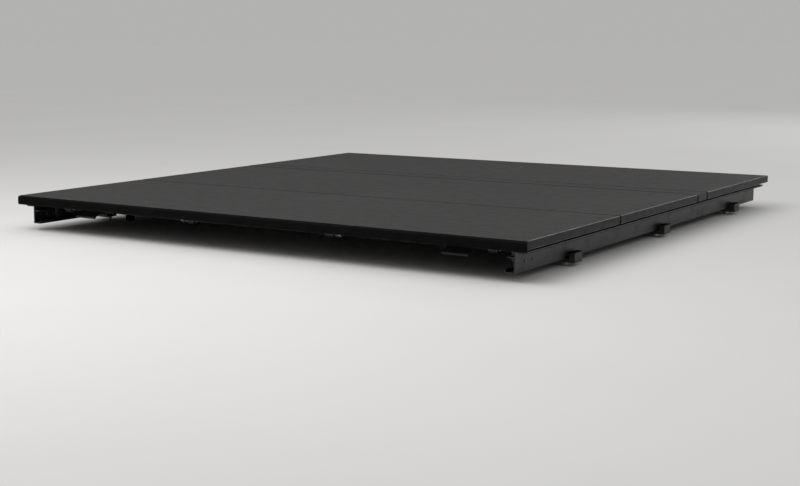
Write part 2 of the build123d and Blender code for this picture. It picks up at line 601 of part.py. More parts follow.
def claw():
    """Right claw: a hub on the rod and a hook round the striker, ramped below so that it rides over."""
    sy = STRIKER_Y - ROD_Y
    sz = STRIKER_Z - ROD_Z
    back = sy - STRIKER_RADIUS - CLAW_GAP
    floor = sz - STRIKER_RADIUS - CLAW_GAP
    tip = sy + CLAW_TIP
    hook = [(back, 0), (back, floor), (tip, floor), (tip, floor - CLAW_TIP)]
    ramp = [(back - CLAW_RAMP, floor - CLAW_HOOK), (-HUB_RADIUS, floor), (-HUB_RADIUS, 0), (back, 0)]
    outline = Polyline(*hook, *ramp)
    profile = Pos(ROD_Y, ROD_Z) * make_face(outline)
    profile += disc(ROD_Y, ROD_Z, HUB_RADIUS)
    profile -= disc(ROD_Y, ROD_Z, ROD_RADIUS)
    half = CLAW_WIDTH / 2
    return along_x(profile, CLAW_PLACE - half, CLAW_PLACE + half)


def paddle(x):
    """Finger paddle: a hub on the rod and a plate that slopes down towards the rear edge."""
    plate = rect(-PADDLE_REACH, 0, -PADDLE_PLATE / 2, PADDLE_PLATE / 2)
    plate += disc(-PADDLE_REACH, 0, PADDLE_PLATE)
    profile = Pos(ROD_Y, ROD_Z) * (Rot(0, 0, PADDLE_SLOPE) * plate + Circle(PADDLE_HUB))
    profile -= disc(ROD_Y, ROD_Z, ROD_RADIUS)
    half = PADDLE_WIDTH / 2
    return along_x(profile, x - half, x + half)


def collar(x):
    """Ring fixed on the rod, with a hole that takes the spring's inner leg."""
    ring = disc(ROD_Y, ROD_Z, SPRING_COIL + COLLAR_WALL) - disc(ROD_Y, ROD_Z, ROD_RADIUS)
    ring -= disc(ROD_Y + SPRING_COIL, ROD_Z - SPRING_BEND, SPRING_WIRE + HOLE_CLEARANCE)
    return along_x(ring, x, x + COLLAR_WIDTH)


def torsion_spring(x):
    """Coil on the rod: one leg turns into the collar, the other stands up beside the bearing block."""
    along = Vector(0, 0, 1)
    section = Circle(SPRING_WIRE)
    path = Helix(pitch=SPRING_PITCH, height=SPRING_TURNS * SPRING_PITCH, radius=SPRING_COIL, lefthand=True)
    start = Plane(origin=path @ 0, z_dir=path % 0) * section
    end = Plane(origin=path @ 1, z_dir=path % 1) * section
    spring = sweep(start, path=path, is_frenet=True)
    spring += extrude(start, amount=ROD_Z + SPRING_LEG_GAP - PANEL_BOTTOM)
    heading = path % 1
    across = (along - heading * heading.dot(along)).normalized()
    bend_axis = Axis((path @ 1) + across * SPRING_BEND, heading.cross(across))
    elbow = revolve(end, axis=bend_axis, revolution_arc=heading.get_angle(along))
    leg = extrude(elbow.faces().sort_by(Axis.Z)[-1], amount=COLLAR_WIDTH)
    return Plane(origin=(x, ROD_Y, ROD_Z), x_dir=(0, 1, 0), z_dir=(1, 0, 0)) * (spring + elbow + leg)


def striker():
    """Plate on the rail's web that carries the cross pin for the claw."""
    half = STRIKER_PLATE / 2
    profile = rect(STRIKER_Y - half, STRIKER_Y + half, STRIKER_Z - STRIKER_HALF, STRIKER_Z + STRIKER_HALF)
    inner = WEB_INNER - STRIKER_PLATE_WALL
    plate = along_x(profile, inner, WEB_INNER)
    end = CLAW_PLACE - CLAW_WIDTH / 2 - STRIKER_OVERLAP
    plate += along_x(disc(STRIKER_Y, STRIKER_Z, STRIKER_RADIUS), end, inner)
    plate += along_x(disc(STRIKER_Y, STRIKER_Z, STRIKER_RADIUS + STRIKER_RIM), end - STRIKER_HEAD, end)
    for y in STRIKER_RIVET_Y:
        plate -= along_x(disc(y, STRIKER_Z, STRIKER_RIVET), inner - PAST, WEB_INNER + PAST)
    return plate


def striker_rivet(y):
    """Rivet through the striker's plate and the rail's web, closed outside the web."""
    inner = WEB_INNER - STRIKER_PLATE_WALL
    head = disc(y, STRIKER_Z, STRIKER_RIVET + STRIKER_RIM)
    rivet = along_x(disc(y, STRIKER_Z, STRIKER_RIVET), inner, WEB_OUTER)
    rivet += along_x(head, inner - STRIKER_RIVET_HEAD, inner)
    return rivet + along_x(head, WEB_OUTER, WEB_OUTER + STRIKER_RIVET_TAIL)


def save_release():
    save("release_rod", release_rod())
    save("claws", claw(), other_side(claw()))
    save("bearing_blocks", *[bearing_block(x) for x in BLOCK_PLACES])
    save("bearing_bushes", *[bush(x) for x in BLOCK_PLACES])
    save("bearing_screws", *[screw(x, y, PANEL_BOTTOM - BLOCK_BASE) for x, y in BLOCK_SCREWS])
    save("paddles", paddle(PADDLE_PLACE), paddle(-PADDLE_PLACE))
    save("spring_collars", collar(COLLAR_PLACE), other_side(collar(COLLAR_PLACE)))
    spring = torsion_spring(SPRING_PLACE)
    save("release_springs", spring, other_side(spring))
    save("strikers", striker(), other_side(striker()))
    rivets = [striker_rivet(y) for y in STRIKER_RIVET_Y]
    save("striker_rivets", *rivets, *[other_side(r) for r in rivets])


# ---------------------------------------------------------------- toe clamps under the front panel
def save_toe_clamps():
    plate_bottom = PANEL_BOTTOM - HOLD_PLATE
    toe_top = LEDGE_BOTTOM - TOE_GAP
    bar_top = toe_top - TOE_STEP
    bar_bottom = bar_top - TOE_BAR
    knob_top = bar_bottom - TOE_GAP
    half = TOE_WIDTH / 2

    plate = block(STUD_X - HOLD_HALF, STUD_X + HOLD_HALF, STUD_Y - HOLD_LENGTH, STUD_Y + HOLD_LENGTH,
                  plate_bottom, PANEL_BOTTOM)
    plate = fillet(plate.edges().filter_by(Axis.Z), HOLD_ROUND)
    plate -= pin(STUD_X, STUD_Y, STUD_RADIUS, plate_bottom - PAST, PANEL_BOTTOM + PAST)
    for x, y in HOLD_SCREWS:
        plate -= pin(x, y, SCREW_HOLE, plate_bottom - PAST, PANEL_BOTTOM + PAST)
    stud = pin(STUD_X, STUD_Y, STUD_RADIUS, knob_top - STUD_REACH, PANEL_BOTTOM)
    stud += pin(STUD_X, STUD_Y, STUD_FLANGE, plate_bottom - STUD_FLANGE_WALL, plate_bottom)
    screws = [screw(x, y, plate_bottom) for x, y in HOLD_SCREWS]

    toe_end = WEB_INNER - LEDGE_WIDTH + TOE_ENGAGE
    heel_end = STUD_X - HEEL_REACH
    y0 = STUD_Y - half
    y1 = STUD_Y + half
    bar = block(heel_end, toe_end, y0, y1, bar_bottom, bar_top)
    bar += block(toe_end - TOE_ENGAGE, toe_end, y0, y1, bar_top, toe_top)
    bar += block(heel_end, heel_end + HEEL_WIDTH, y0, y1, bar_top, plate_bottom - HEEL_GAP)
    bar = fillet(bar.edges().filter_by(Axis.Z).group_by(Axis.X)[0], HEEL_ROUND)
    bar -= pin(STUD_X, STUD_Y, STUD_RADIUS + ROD_RUNNING, bar_bottom - PAST, bar_top + PAST)

    lobe_ring = KNOB_RADIUS - KNOB_LOBE
    outline = Circle(KNOB_BODY) + [loc * Circle(KNOB_LOBE) for loc in PolarLocations(lobe_ring, KNOB_LOBES)]
    knob = upright(Pos(STUD_X, STUD_Y) * outline, knob_top - KNOB_HEIGHT, knob_top - KNOB_COLLAR)
    knob = fillet(knob.faces().sort_by(Axis.Z)[0].edges(), KNOB_ROUND)
    knob += pin(STUD_X, STUD_Y, WASHER_RADIUS, knob_top - KNOB_COLLAR, knob_top)
    bore_floor = knob_top - KNOB_HEIGHT + KNOB_FLOOR
    knob -= pin(STUD_X, STUD_Y, STUD_RADIUS + ROD_RUNNING, bore_floor, knob_top + PAST)

    save("toe_clamp_plates", plate, other_side(plate))
    save("toe_clamp_studs", stud, other_side(stud))
    save("toe_clamp_screws", *screws, *[other_side(s) for s in screws])
    save_pair("toe_clamp", bar)
    save_pair("knob", knob)


def rest_foot(x, y):
    """Tapered rubber foot that keeps the folded rear panel off the front panel."""
    top = PANEL_BOTTOM
    bottom = PANEL_BOTTOM - (BAR_LENGTH - PANEL_THICKNESS) + FOOT_GAP
    cone = Pos(x, y, (top + bottom) / 2) * Cone(FOOT_TIP, FOOT_BASE, top - bottom)
    return fillet(cone.faces().sort_by(Axis.Z)[0].edges(), FOOT_ROUND)


# ---------------------------------------------------------------- build
os.makedirs("parts", exist_ok=True)
HALF_GAP = HINGE_GAP / 2
panel("rear_panel", REAR_EDGE, REAR_AXIS - HALF_GAP, False, True, True, BLOCK_SCREWS)
panel("middle_panel", REAR_AXIS + HALF_GAP, MIDDLE_AXIS - HALF_GAP, True, True)
panel("front_panel", FRONT_AXIS + HALF_GAP, FRONT_EDGE, True, False, False,
      HOLD_SCREWS + [(-x, y) for x, y in HOLD_SCREWS])
save("rear_hinge_strip", hinge_strip(REAR_AXIS))
save("middle_hinge_strip", hinge_strip(MIDDLE_AXIS))
save("front_hinge_strip", hinge_strip(FRONT_AXIS))
hinge_bar()
save("tailgate_seal", tailgate_seal())
save("front_seal", front_seal())
save("rest_feet", *[rest_foot(x, y) for x in (-FOOT_X, FOOT_X) for y in (FOOT_REAR_Y, FOOT_FRONT_Y)])
save_rails()
save_release()
save_toe_clamps()
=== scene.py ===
import json
import math

import bpy
from mathutils import Matrix, Vector


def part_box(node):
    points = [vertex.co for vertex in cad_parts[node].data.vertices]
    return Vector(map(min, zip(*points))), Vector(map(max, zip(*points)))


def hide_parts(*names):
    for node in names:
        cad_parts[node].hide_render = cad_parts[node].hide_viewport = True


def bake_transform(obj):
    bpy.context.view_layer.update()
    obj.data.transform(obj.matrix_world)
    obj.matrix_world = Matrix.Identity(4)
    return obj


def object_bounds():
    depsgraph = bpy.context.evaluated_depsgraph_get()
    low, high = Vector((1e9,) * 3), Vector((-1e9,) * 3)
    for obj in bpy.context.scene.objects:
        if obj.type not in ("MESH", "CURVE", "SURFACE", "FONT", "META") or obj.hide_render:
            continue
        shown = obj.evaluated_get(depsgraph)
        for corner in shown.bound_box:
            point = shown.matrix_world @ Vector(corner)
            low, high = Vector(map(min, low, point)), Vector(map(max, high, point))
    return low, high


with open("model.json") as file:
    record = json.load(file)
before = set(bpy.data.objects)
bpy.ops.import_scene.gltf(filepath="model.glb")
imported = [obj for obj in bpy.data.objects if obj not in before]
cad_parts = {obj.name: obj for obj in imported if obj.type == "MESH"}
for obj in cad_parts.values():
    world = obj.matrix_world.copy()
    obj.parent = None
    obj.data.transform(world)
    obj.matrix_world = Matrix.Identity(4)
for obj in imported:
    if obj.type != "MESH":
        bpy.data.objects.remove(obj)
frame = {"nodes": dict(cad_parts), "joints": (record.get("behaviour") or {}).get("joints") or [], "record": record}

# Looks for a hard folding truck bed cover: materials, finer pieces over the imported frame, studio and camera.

CAD_LOW, CAD_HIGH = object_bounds()
RECORD = frame["record"]
NODES = frame["nodes"]
JOINTS = {j["name"]: j for j in frame["joints"]}


# ---------------------------------------------------------------- material tools
class Mat:
    """A procedural material: node helpers round one Principled shader. Lengths are in metres."""

    def __init__(self, name, metal=0.0, **sockets):
        self.material = bpy.data.materials.new(name)
        self.material.use_nodes = True
        self.tree = self.material.node_tree
        self.tree.nodes.clear()
        self.shader = self.tree.nodes.new("ShaderNodeBsdfPrincipled")
        output = self.tree.nodes.new("ShaderNodeOutputMaterial")
        self.tree.links.new(self.shader.outputs[0], output.inputs[0])
        self.shader.inputs["Metallic"].default_value = metal
        for socket, value in sockets.items():
            self.shader.inputs[socket.replace("_", " ")].default_value = value
        self.place = self.tree.nodes.new("ShaderNodeTexCoord").outputs["Object"]
        self.height = None

    def link(self, source, target):
        self.tree.links.new(source, target)

    def stretched(self, scale):
        """The place, scaled by a different amount along each axis."""
        mapping = self.tree.nodes.new("ShaderNodeMapping")
        mapping.inputs["Scale"].default_value = scale
        self.link(self.place, mapping.inputs["Vector"])
        return mapping.outputs[0]

    def noise(self, scale, detail=3.0, rough=0.55, stretch=None, distortion=0.0):
        node = self.tree.nodes.new("ShaderNodeTexNoise")
        node.inputs["Scale"].default_value = scale
        node.inputs["Detail"].default_value = detail
        node.inputs["Roughness"].default_value = rough
        node.inputs["Distortion"].default_value = distortion
        self.link(self.stretched(stretch) if stretch else self.place, node.inputs["Vector"])
        return node.outputs["Fac"]

    def cells(self, scale, feature="F1"):
        node = self.tree.nodes.new("ShaderNodeTexVoronoi")
        node.feature = feature
        node.inputs["Scale"].default_value = scale
        self.link(self.place, node.inputs["Vector"])
        return node.outputs["Distance"]

    def map(self, source, low, high, to_low, to_high):
        """source from low..high to to_low..to_high, held at the ends."""
        node = self.tree.nodes.new("ShaderNodeMapRange")
        for socket, value in zip(("From Min", "From Max", "To Min", "To Max"), (low, high, to_low, to_high)):
            node.inputs[socket].default_value = value
        self.link(source, node.inputs["Value"])
        return node.outputs[0]

    def math(self, operation, a, b):
        node = self.tree.nodes.new("ShaderNodeMath")
        node.operation = operation
        for socket, value in zip(node.inputs, (a, b)):
            if isinstance(value, (int, float)):
                socket.default_value = value
            else:
                self.link(value, socket)
        return node.outputs[0]

    def mix(self, factor, a, b):
        """Colour a where factor is 0 and b where it is 1; each is a colour or a socket."""
        node = self.tree.nodes.new("ShaderNodeMix")
        node.data_type = "RGBA"
        self.link(factor, node.inputs[0])
        for socket, value in zip((node.inputs[6], node.inputs[7]), (a, b)):
            if isinstance(value, (tuple, list)):
                socket.default_value = (*value[:3], 1.0)
            else:
                self.link(value, socket)
        return node.outputs[2]

    def colour(self, source):
        self.link(source, self.shader.inputs["Base Color"])

    def edge_highlight_mask(self):
        """1 on edges that are rounded or chamfered between two main directions, broken up along them: the mask of
        a painted highlight.
        """
        coordinates = self.tree.nodes.new("ShaderNodeTexCoord")
        parts = self.tree.nodes.new("ShaderNodeSeparateXYZ")
        self.link(coordinates.outputs["Normal"], parts.inputs[0])
        x, y, z = (self.math("ABSOLUTE", parts.outputs[i], 0.0) for i in range(3))
        slant = self.math("ADD", self.math("MULTIPLY", x, z), self.math("MULTIPLY", y, z))
        edge = self.map(self.math("ADD", slant, self.math("MULTIPLY", x, y)), 0.22, 0.42, 0.0, 1.0)
        patches = self.map(self.noise(26.0, 6.0, 0.7), 0.34, 0.62, 0.25, 1.0)
        return self.math("MULTIPLY", edge, patches)

    def roughness(self, source):
        self.link(source, self.shader.inputs["Roughness"])

    def bump(self, source, depth, strength):
        """Adds relief of about depth metres."""
        node = self.tree.nodes.new("ShaderNodeBump")
        node.inputs["Strength"].default_value = strength
        node.inputs["Distance"].default_value = depth
        self.link(source, node.inputs["Height"])
        if self.height is not None:
            self.link(self.height, node.inputs["Normal"])
        self.height = node.outputs["Normal"]
        self.link(self.height, self.shader.inputs["Normal"])


def tone(colour, gain):
    return tuple(c * gain for c in colour)


def textured_coat():
    """Matt dark grey powder coat with a pebbled grain, a slightly cloudy tone and a little dust."""
    m = Mat("textured_coat", Specular_IOR_Level=0.3)
    base = (0.033, 0.033, 0.0333)
    dust = (0.19, 0.186, 0.175)
    cloud = m.map(m.noise(7.0, 5.0, 0.62), 0.3, 0.7, 0.0, 1.0)
    tint = m.mix(cloud, tone(base, 0.92), tone(base, 1.09))
    speck = m.map(m.noise(420.0, 3.0, 0.7), 0.38, 0.66, 0.0, 1.0)
    tint = m.mix(speck, tone(base, 0.66), tint)
    fleck = m.map(m.noise(130.0, 4.0, 0.75), 0.54, 0.64, 0.0, 0.45)
    tint = m.mix(fleck, tint, tone(base, 0.5))
    dust_big = m.map(m.noise(2.2, 6.0, 0.66, distortion=0.4), 0.5, 0.76, 0.0, 0.1)
    dust_fine = m.map(m.noise(300.0, 3.0, 0.7), 0.42, 0.68, 0.2, 1.0)
    m.colour(m.mix(m.math("MULTIPLY", dust_big, dust_fine), tint, dust))
    m.roughness(m.map(m.noise(28.0, 4.0, 0.6), 0.25, 0.75, 0.54, 0.68))
    m.bump(m.noise(20.0, 3.0), 0.001, 0.15)
    m.bump(m.map(m.cells(300.0), 0.0, 0.8, 1.0, 0.0), 0.0012, 0.85)
    m.bump(m.noise(620.0, 4.0, 0.75), 0.0005, 0.7)
    return m.material


def under_coat():
    """Satin dark grey underside sheet with a stucco emboss."""
    m = Mat("under_coat", Specular_IOR_Level=0.4)
    base = (0.05, 0.0503, 0.052)
    m.colour(m.mix(m.noise(7.0, 4.0), tone(base, 0.75), tone(base, 1.3)))
    m.roughness(m.map(m.noise(22.0, 4.0), 0.25, 0.75, 0.42, 0.6))
    m.bump(m.cells(150.0, "SMOOTH_F1"), 0.0008, 0.8)
    m.bump(m.noise(900.0, 2.0), 0.0001, 0.5)
    return m.material


def black_coat():
    """Satin black powder coat with fine orange peel, faint scuffs and a painted highlight on its rounded edges,
    broken up in patches.
    """
    m = Mat("black_coat", Specular_IOR_Level=0.13)
    base = (0.0045, 0.0045, 0.0046)
    scuffed = (0.05, 0.05, 0.052)
    # Pale colour of the painted highlight on rounded edges.
    edge_highlight = (0.3, 0.3, 0.31)
    scuff = m.map(m.noise(60.0, 6.0, 0.72, stretch=(1.0, 0.25, 1.0)), 0.64, 0.8, 0.0, 0.3)
    tint = m.mix(m.noise(12.0, 4.0), tone(base, 0.8), tone(base, 1.35))
    tint = m.mix(scuff, tint, scuffed)
    # Rounded edges take the pale colour: a painted highlight, broken up in patches.
    m.colour(m.mix(m.edge_highlight_mask(), tint, edge_highlight))
    m.roughness(m.map(m.noise(45.0, 4.0), 0.25, 0.75, 0.3, 0.45))
    m.bump(m.noise(800.0, 2.0), 0.00025, 0.55)
    return m.material


def rubber():
    """Matt black rubber with a dull bloom and a fine skin."""
    m = Mat("rubber", Specular_IOR_Level=0.07)
    base = (0.002, 0.002, 0.0021)
    dull = (0.009, 0.0089, 0.0086)
    m.colour(m.mix(m.map(m.noise(16.0, 5.0, 0.65), 0.48, 0.82, 0.0, 0.35), base, dull))
    m.roughness(m.map(m.noise(70.0, 4.0), 0.25, 0.75, 0.62, 0.82))
    m.bump(m.noise(1100.0, 2.0), 0.00018, 0.55)
    m.bump(m.noise(90.0, 3.0, stretch=(0.15, 1.0, 1.0)), 0.0006, 0.25)
    return m.material


def foam():
    """Closed-cell foam tape with small open pores on its cut faces, painted darker inside as shade."""
    m = Mat("foam", Specular_IOR_Level=0.15)
    pore_shade = (0.01, 0.01, 0.01)
    skin = (0.032, 0.032, 0.033)
    pores = m.cells(900.0)
    # The darker colour at the pore centres is painted shade inside the pores.
    m.colour(m.mix(m.map(pores, 0.1, 0.6, 0.0, 1.0), pore_shade, skin))
    m.roughness(m.map(m.noise(300.0), 0.3, 0.7, 0.85, 0.97))
    m.bump(pores, 0.0006, 0.9)
    return m.material


def moulded_plastic():
    """Black moulded plastic with a spark-eroded texture."""
    m = Mat("moulded_plastic", Specular_IOR_Level=0.42)
    base = (0.02, 0.02, 0.0206)
    m.colour(m.mix(m.noise(40.0, 4.0), tone(base, 0.8), tone(base, 1.35)))
    m.roughness(m.map(m.noise(120.0, 4.0), 0.25, 0.75, 0.44, 0.62))
    m.bump(m.cells(1300.0), 0.00022, 0.6)
    return m.material


def nylon():
    """Natural nylon, slightly uneven in tone."""
    m = Mat("nylon", Specular_IOR_Level=0.45)
    dark = (0.5, 0.475, 0.4)
    light = (0.62, 0.6, 0.53)
    m.colour(m.mix(m.noise(80.0, 4.0), dark, light))
    m.roughness(m.map(m.noise(200.0, 3.0), 0.3, 0.7, 0.38, 0.52))
    m.bump(m.noise(700.0, 2.0), 0.0001, 0.4)
    return m.material


def drawn(name, colour, stretch, low, high):
    """Metal with fine lines along its length, dulled here and there, of roughness low to high."""
    m = Mat(name, metal=1.0)
    lines = m.noise(1.0, 4.0, 0.6, stretch=stretch)
    stain = m.map(m.noise(30.0, 5.0, 0.65), 0.5, 0.75, 0.0, 0.5)
    tint = m.mix(lines, tone(colour, 0.8), tone(colour, 1.1))
    m.colour(m.mix(stain, tint, tone(colour, 0.55)))
    m.roughness(m.math("ADD", m.map(lines, 0.3, 0.7, low, high), m.math("MULTIPLY", stain, 0.25)))
    m.bump(lines, 0.00008, 0.5)
    return m.material


def zinc():
    """Bright zinc plate with crystalline tone and small pale bloom."""
    m = Mat("zinc_plate", metal=1.0)
    bright = (0.62, 0.61, 0.56)
    grey = (0.46, 0.46, 0.44)
    white = (0.62, 0.62, 0.6)
    bloom = m.map(m.noise(160.0, 5.0, 0.7), 0.6, 0.8, 0.0, 0.55)
    m.colour(m.mix(bloom, m.mix(m.cells(420.0), bright, grey), white))
    polish = m.map(m.noise(90.0, 4.0), 0.25, 0.75, 0.22, 0.4)
    m.roughness(m.math("ADD", polish, m.math("MULTIPLY", bloom, 0.4)))
    m.bump(m.noise(600.0, 3.0), 0.00008, 0.5)
    return m.material


def painted_steel():
    """Satin black paint over steel, with small chips to bare metal."""
    m = Mat("painted_steel", Specular_IOR_Level=0.5)
    dark = (0.013, 0.013, 0.014)
    light = (0.026, 0.026, 0.027)
    bare = (0.24, 0.22, 0.2)
    chips = m.map(m.noise(140.0, 6.0, 0.75), 0.7, 0.73, 0.0, 1.0)
    m.colour(m.mix(chips, m.mix(m.noise(25.0, 4.0), dark, light), bare))
    m.roughness(m.map(m.noise(50.0, 4.0), 0.25, 0.75, 0.3, 0.48))
    m.bump(m.noise(500.0, 2.0), 0.00015, 0.5)
    m.bump(chips, 0.0001, -0.6)
    return m.material


def core_board():
    """Brown honeycomb board, with painted shade in the hollow cells between its walls."""
    m = Mat("core_board", Specular_IOR_Level=0.2)
    wall = (0.36, 0.28, 0.18)
    cell_shade = (0.2, 0.15, 0.1)
    cells = m.cells(180.0, "DISTANCE_TO_EDGE")
    # Walls take the paler colour. The darker colour away from them is painted shade in the hollow cells.
    m.colour(m.mix(m.map(cells, 0.0, 0.1, 0.0, 1.0), wall, cell_shade))
    m.roughness(m.map(m.noise(100.0), 0.3, 0.7, 0.8, 0.95))
    m.bump(cells, 0.001, 0.6)
    return m.material


# Scales of the fine lines along X, along Y and of an even grain.
ALONG_X = (3.0, 1400.0, 1400.0)
ALONG_Y = (1400.0, 3.0, 1400.0)
EVEN = (900.0, 900.0, 900.0)
# The material of each slot in the record.
FINISHES = {
    "panel_core": core_board(),
    "textured_skin": textured_coat(),
    "under_skin": under_coat(),
    "black_extrusion": black_coat(),
    "black_plastic": moulded_plastic(),
    "black_rubber": rubber(),
    "foam_tape": foam(),
    "rail_aluminium": drawn("black_anodised", (0.075, 0.075, 0.079), ALONG_Y, 0.34, 0.5),
    "rivet_aluminium": drawn("dark_rivets", (0.11, 0.11, 0.112), EVEN, 0.3, 0.45),
    "zinc_steel": zinc(),
    "bright_steel": drawn("bright_bar", (0.5, 0.5, 0.51), ALONG_X, 0.2, 0.36),
    "black_steel": painted_steel(),
    "pale_plastic": nylon(),
}
SLOT_OF = {part["node"]: part["material_slot"] for part in RECORD["subparts"]}


def finish_node(node):
    """Gives a carried-over CAD node its material."""
    mesh = NODES[node].data
    mesh.materials.clear()
    mesh.materials.append(FINISHES[SLOT_OF[node]])


for node_name in NODES:
    finish_node(node_name)


# ---------------------------------------------------------------- edges of the CAD pieces
WELD_REACH = 0.000005
SHARP_EDGE = 50.0        # degrees between faces, from which an edge is rounded


def soften(node, width):
    """Small rounded edges on a CAD node, by modifiers only."""
    piece = NODES[node]
    weld = piece.modifiers.new("weld", "WELD")
    weld.merge_threshold = WELD_REACH
    bevel = piece.modifiers.new("edges", "BEVEL")
    bevel.width = width
    bevel.segments = 2
    bevel.limit_method = "ANGLE"
    bevel.angle_limit = math.radians(SHARP_EDGE)
    piece.modifiers.new("normals", "WEIGHTED_NORMAL")


CROSS_RAIL_EDGE = 0.0004
EDGE_WIDTHS = {name: CROSS_RAIL_EDGE for name in NODES if name.endswith(("_rear_rail", "_front_rail"))}
EDGE_WIDTHS |= {
    "hinge_bar_extrusion": 0.0006, "hinge_bar_caps": 0.0006, "clamp_jaws": 0.0007, "clamp_brackets": 0.0004,
    "clamp_pads": 0.0003, "strikers": 0.0004, "toe_clamp_left": 0.0005, "toe_clamp_right": 0.0005,
    "toe_clamp_plates": 0.0003, "claws": 0.0003, "paddles": 0.0006, "bearing_blocks": 0.0004,
}
for node_name, edge in EDGE_WIDTHS.items():
    soften(node_name, edge)


# ---------------------------------------------------------------- pieces made here
SMOOTH_ANGLE = 40.0      # degrees between faces, up to which they are shaded as one surface


def new_piece(name, vertices, faces, slot):
    """A smooth-shaded object in the material of its slot."""
    mesh = bpy.data.meshes.new(name)
    mesh.from_pydata([tuple(v) for v in vertices], [], faces)
    mesh.update()
    mesh.shade_smooth()
    mesh.set_sharp_from_angle(angle=math.radians(SMOOTH_ANGLE))
    mesh.materials.append(FINISHES[slot])
    piece = bpy.data.objects.new(name, mesh)
    bpy.context.scene.collection.objects.link(piece)
    return piece


def arc(centre, radius, start, end, count):
    """Points of an arc in a plane, angles in degrees, both ends included."""
    angles = [math.radians(start + (end - start) * i / (count - 1)) for i in range(count)]
    return [(centre[0] + radius * math.cos(a), centre[1] + radius * math.sin(a)) for a in angles]


def tube(points, radius, sides=12):
    """Vertices and faces of a round wire along a line of points."""
    vertices, faces = [], []
    points = [Vector(p) for p in points]
    normal = (points[1] - points[0]).normalized().orthogonal()
    for i, point in enumerate(points):
        ahead = (points[min(i + 1, len(points) - 1)] - points[max(i - 1, 0)]).normalized()
        normal = (normal - ahead * normal.dot(ahead)).normalized()
        side = ahead.cross(normal)
        for k in range(sides):
            angle = 2 * math.pi * k / sides
            vertices.append(point + radius * (math.cos(angle) * normal + math.sin(angle) * side))
    for i in range(len(points) - 1):
        for k in range(sides):
            a = i * sides + k
            b = i * sides + (k + 1) % sides
            faces.append((a, b, b + sides, a + sides))
    faces.append(tuple(range(sides))[::-1])
    faces.append(tuple(range(len(vertices) - sides, len(vertices))))
    return vertices, faces


# Section of a rubber hinge strip
BULB = 0.0029            # radius of the bulbs
NECK = 0.001             # half height of the neck beside a bulb
NECK_RISE = 0.0004       # slant from a neck up into a leg of the arch
LEG_GAP = 0.0002         # between a leg and the face beside it
WEB = 0.0012             # wall of the arch
ARCH_ROUND = 0.0018
INNER_ROUND = 0.0006
RIBS = 3                 # shallow ribs along the top of the arch
RIB_DEPTH = 0.00022
# How finely the section and the strip's length are divided
RIB_POINTS = 8
BULB_POINTS = 24
CORNER_POINTS = 7
INNER_POINTS = 4
CEILING_POINTS = 12
STRIP_SECTIONS = 33


def strip_section(half, face, bulb_z, crown):
    """Outline across a strip: bulb centres at half and the panels' faces at face, both from the middle."""
    leg = face - LEG_GAP
    grip = math.degrees(math.asin(NECK / BULB))
    shoulder = crown - ARCH_ROUND
    line = arc((-half, bulb_z), BULB, 360 - grip, grip, BULB_POINTS)
    line += [(-face, bulb_z + NECK), (-leg, bulb_z + NECK + NECK_RISE)]
    line += arc((-leg + ARCH_ROUND, shoulder), ARCH_ROUND, 180, 90, CORNER_POINTS)
    span = 2 * (leg - ARCH_ROUND)
    for i in range(1, RIB_POINTS * RIBS):
        share = i / (RIB_POINTS * RIBS)
        dip = RIB_DEPTH * (1 - math.cos(2 * math.pi * RIBS * share)) / 2
        line.append((-leg + ARCH_ROUND + span * share, crown - dip))
    line += arc((leg - ARCH_ROUND, shoulder), ARCH_ROUND, 90, 0, CORNER_POINTS)
    line += [(leg, bulb_z + NECK + NECK_RISE), (face, bulb_z + NECK)]
    line += arc((half, bulb_z), BULB, 180 - grip, -180 + grip, BULB_POINTS)
    inner = leg - WEB
    ceiling = crown - WEB
    corner = inner - INNER_ROUND
    line += [(face, bulb_z - NECK), (inner, bulb_z - NECK)]
    line += arc((corner, ceiling - INNER_ROUND), INNER_ROUND, 0, 90, INNER_POINTS)
    for i in range(1, CEILING_POINTS):
        line.append((corner - 2 * corner * i / CEILING_POINTS, ceiling))
    line += arc((-corner, ceiling - INNER_ROUND), INNER_ROUND, 90, 180, INNER_POINTS)
    line += [(-inner, bulb_z - NECK), (-face, bulb_z - NECK)]
    return line


def hinge_strip(node, joint_name, front_node):
    """Rubber hinge with bulbs in the sockets and a ribbed arch over the gap, centred on the joint's axis."""
    low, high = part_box(node)
    axis = Vector(JOINTS[joint_name]["pos_m"])
    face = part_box(front_node)[0].y - axis.y
    line = strip_section((high.y - low.y) / 2 - BULB, face, low.z + BULB, high.z)
    vertices, faces = [], []
    count = len(line)
    for i in range(STRIP_SECTIONS):
        x = low.x + (high.x - low.x) * i / (STRIP_SECTIONS - 1)
        vertices += [(x, axis.y + y, z) for y, z in line]
    for i in range(STRIP_SECTIONS - 1):
        for k in range(count):
            a = i * count + k
            b = i * count + (k + 1) % count
            faces.append((a, a + count, b + count, b))
    faces.append(tuple(range(count)))
    faces.append(tuple(range(len(vertices) - count, len(vertices)))[::-1])
    piece = new_piece(node + "_rubber", vertices, faces, "black_rubber")
    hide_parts(node)
    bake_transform(piece)


hinge_strip("rear_hinge_strip", "rear_fold", "middle_panel_rear_rail")
hinge_strip("middle_hinge_strip", "middle_fold", "hinge_bar_extrusion")
hinge_strip("front_hinge_strip", "front_fold", "front_panel_rear_rail")


# Release springs
SPRING_START = 0.2445                # from the middle to the first coil
SPRING_LENGTH = 0.011                # of the coils
SPRING_TURNS = 5
SPRING_WIRE = 0.0008                 # radius of the wire
SPRING_BEND = 0.0016                 # radius of the bend towards the collar
SPRING_LEG = (0.012, 0.008, 0.004)   # points down the upright leg, above the axis
TURN_POINTS = 24
BEND_POINTS = 6


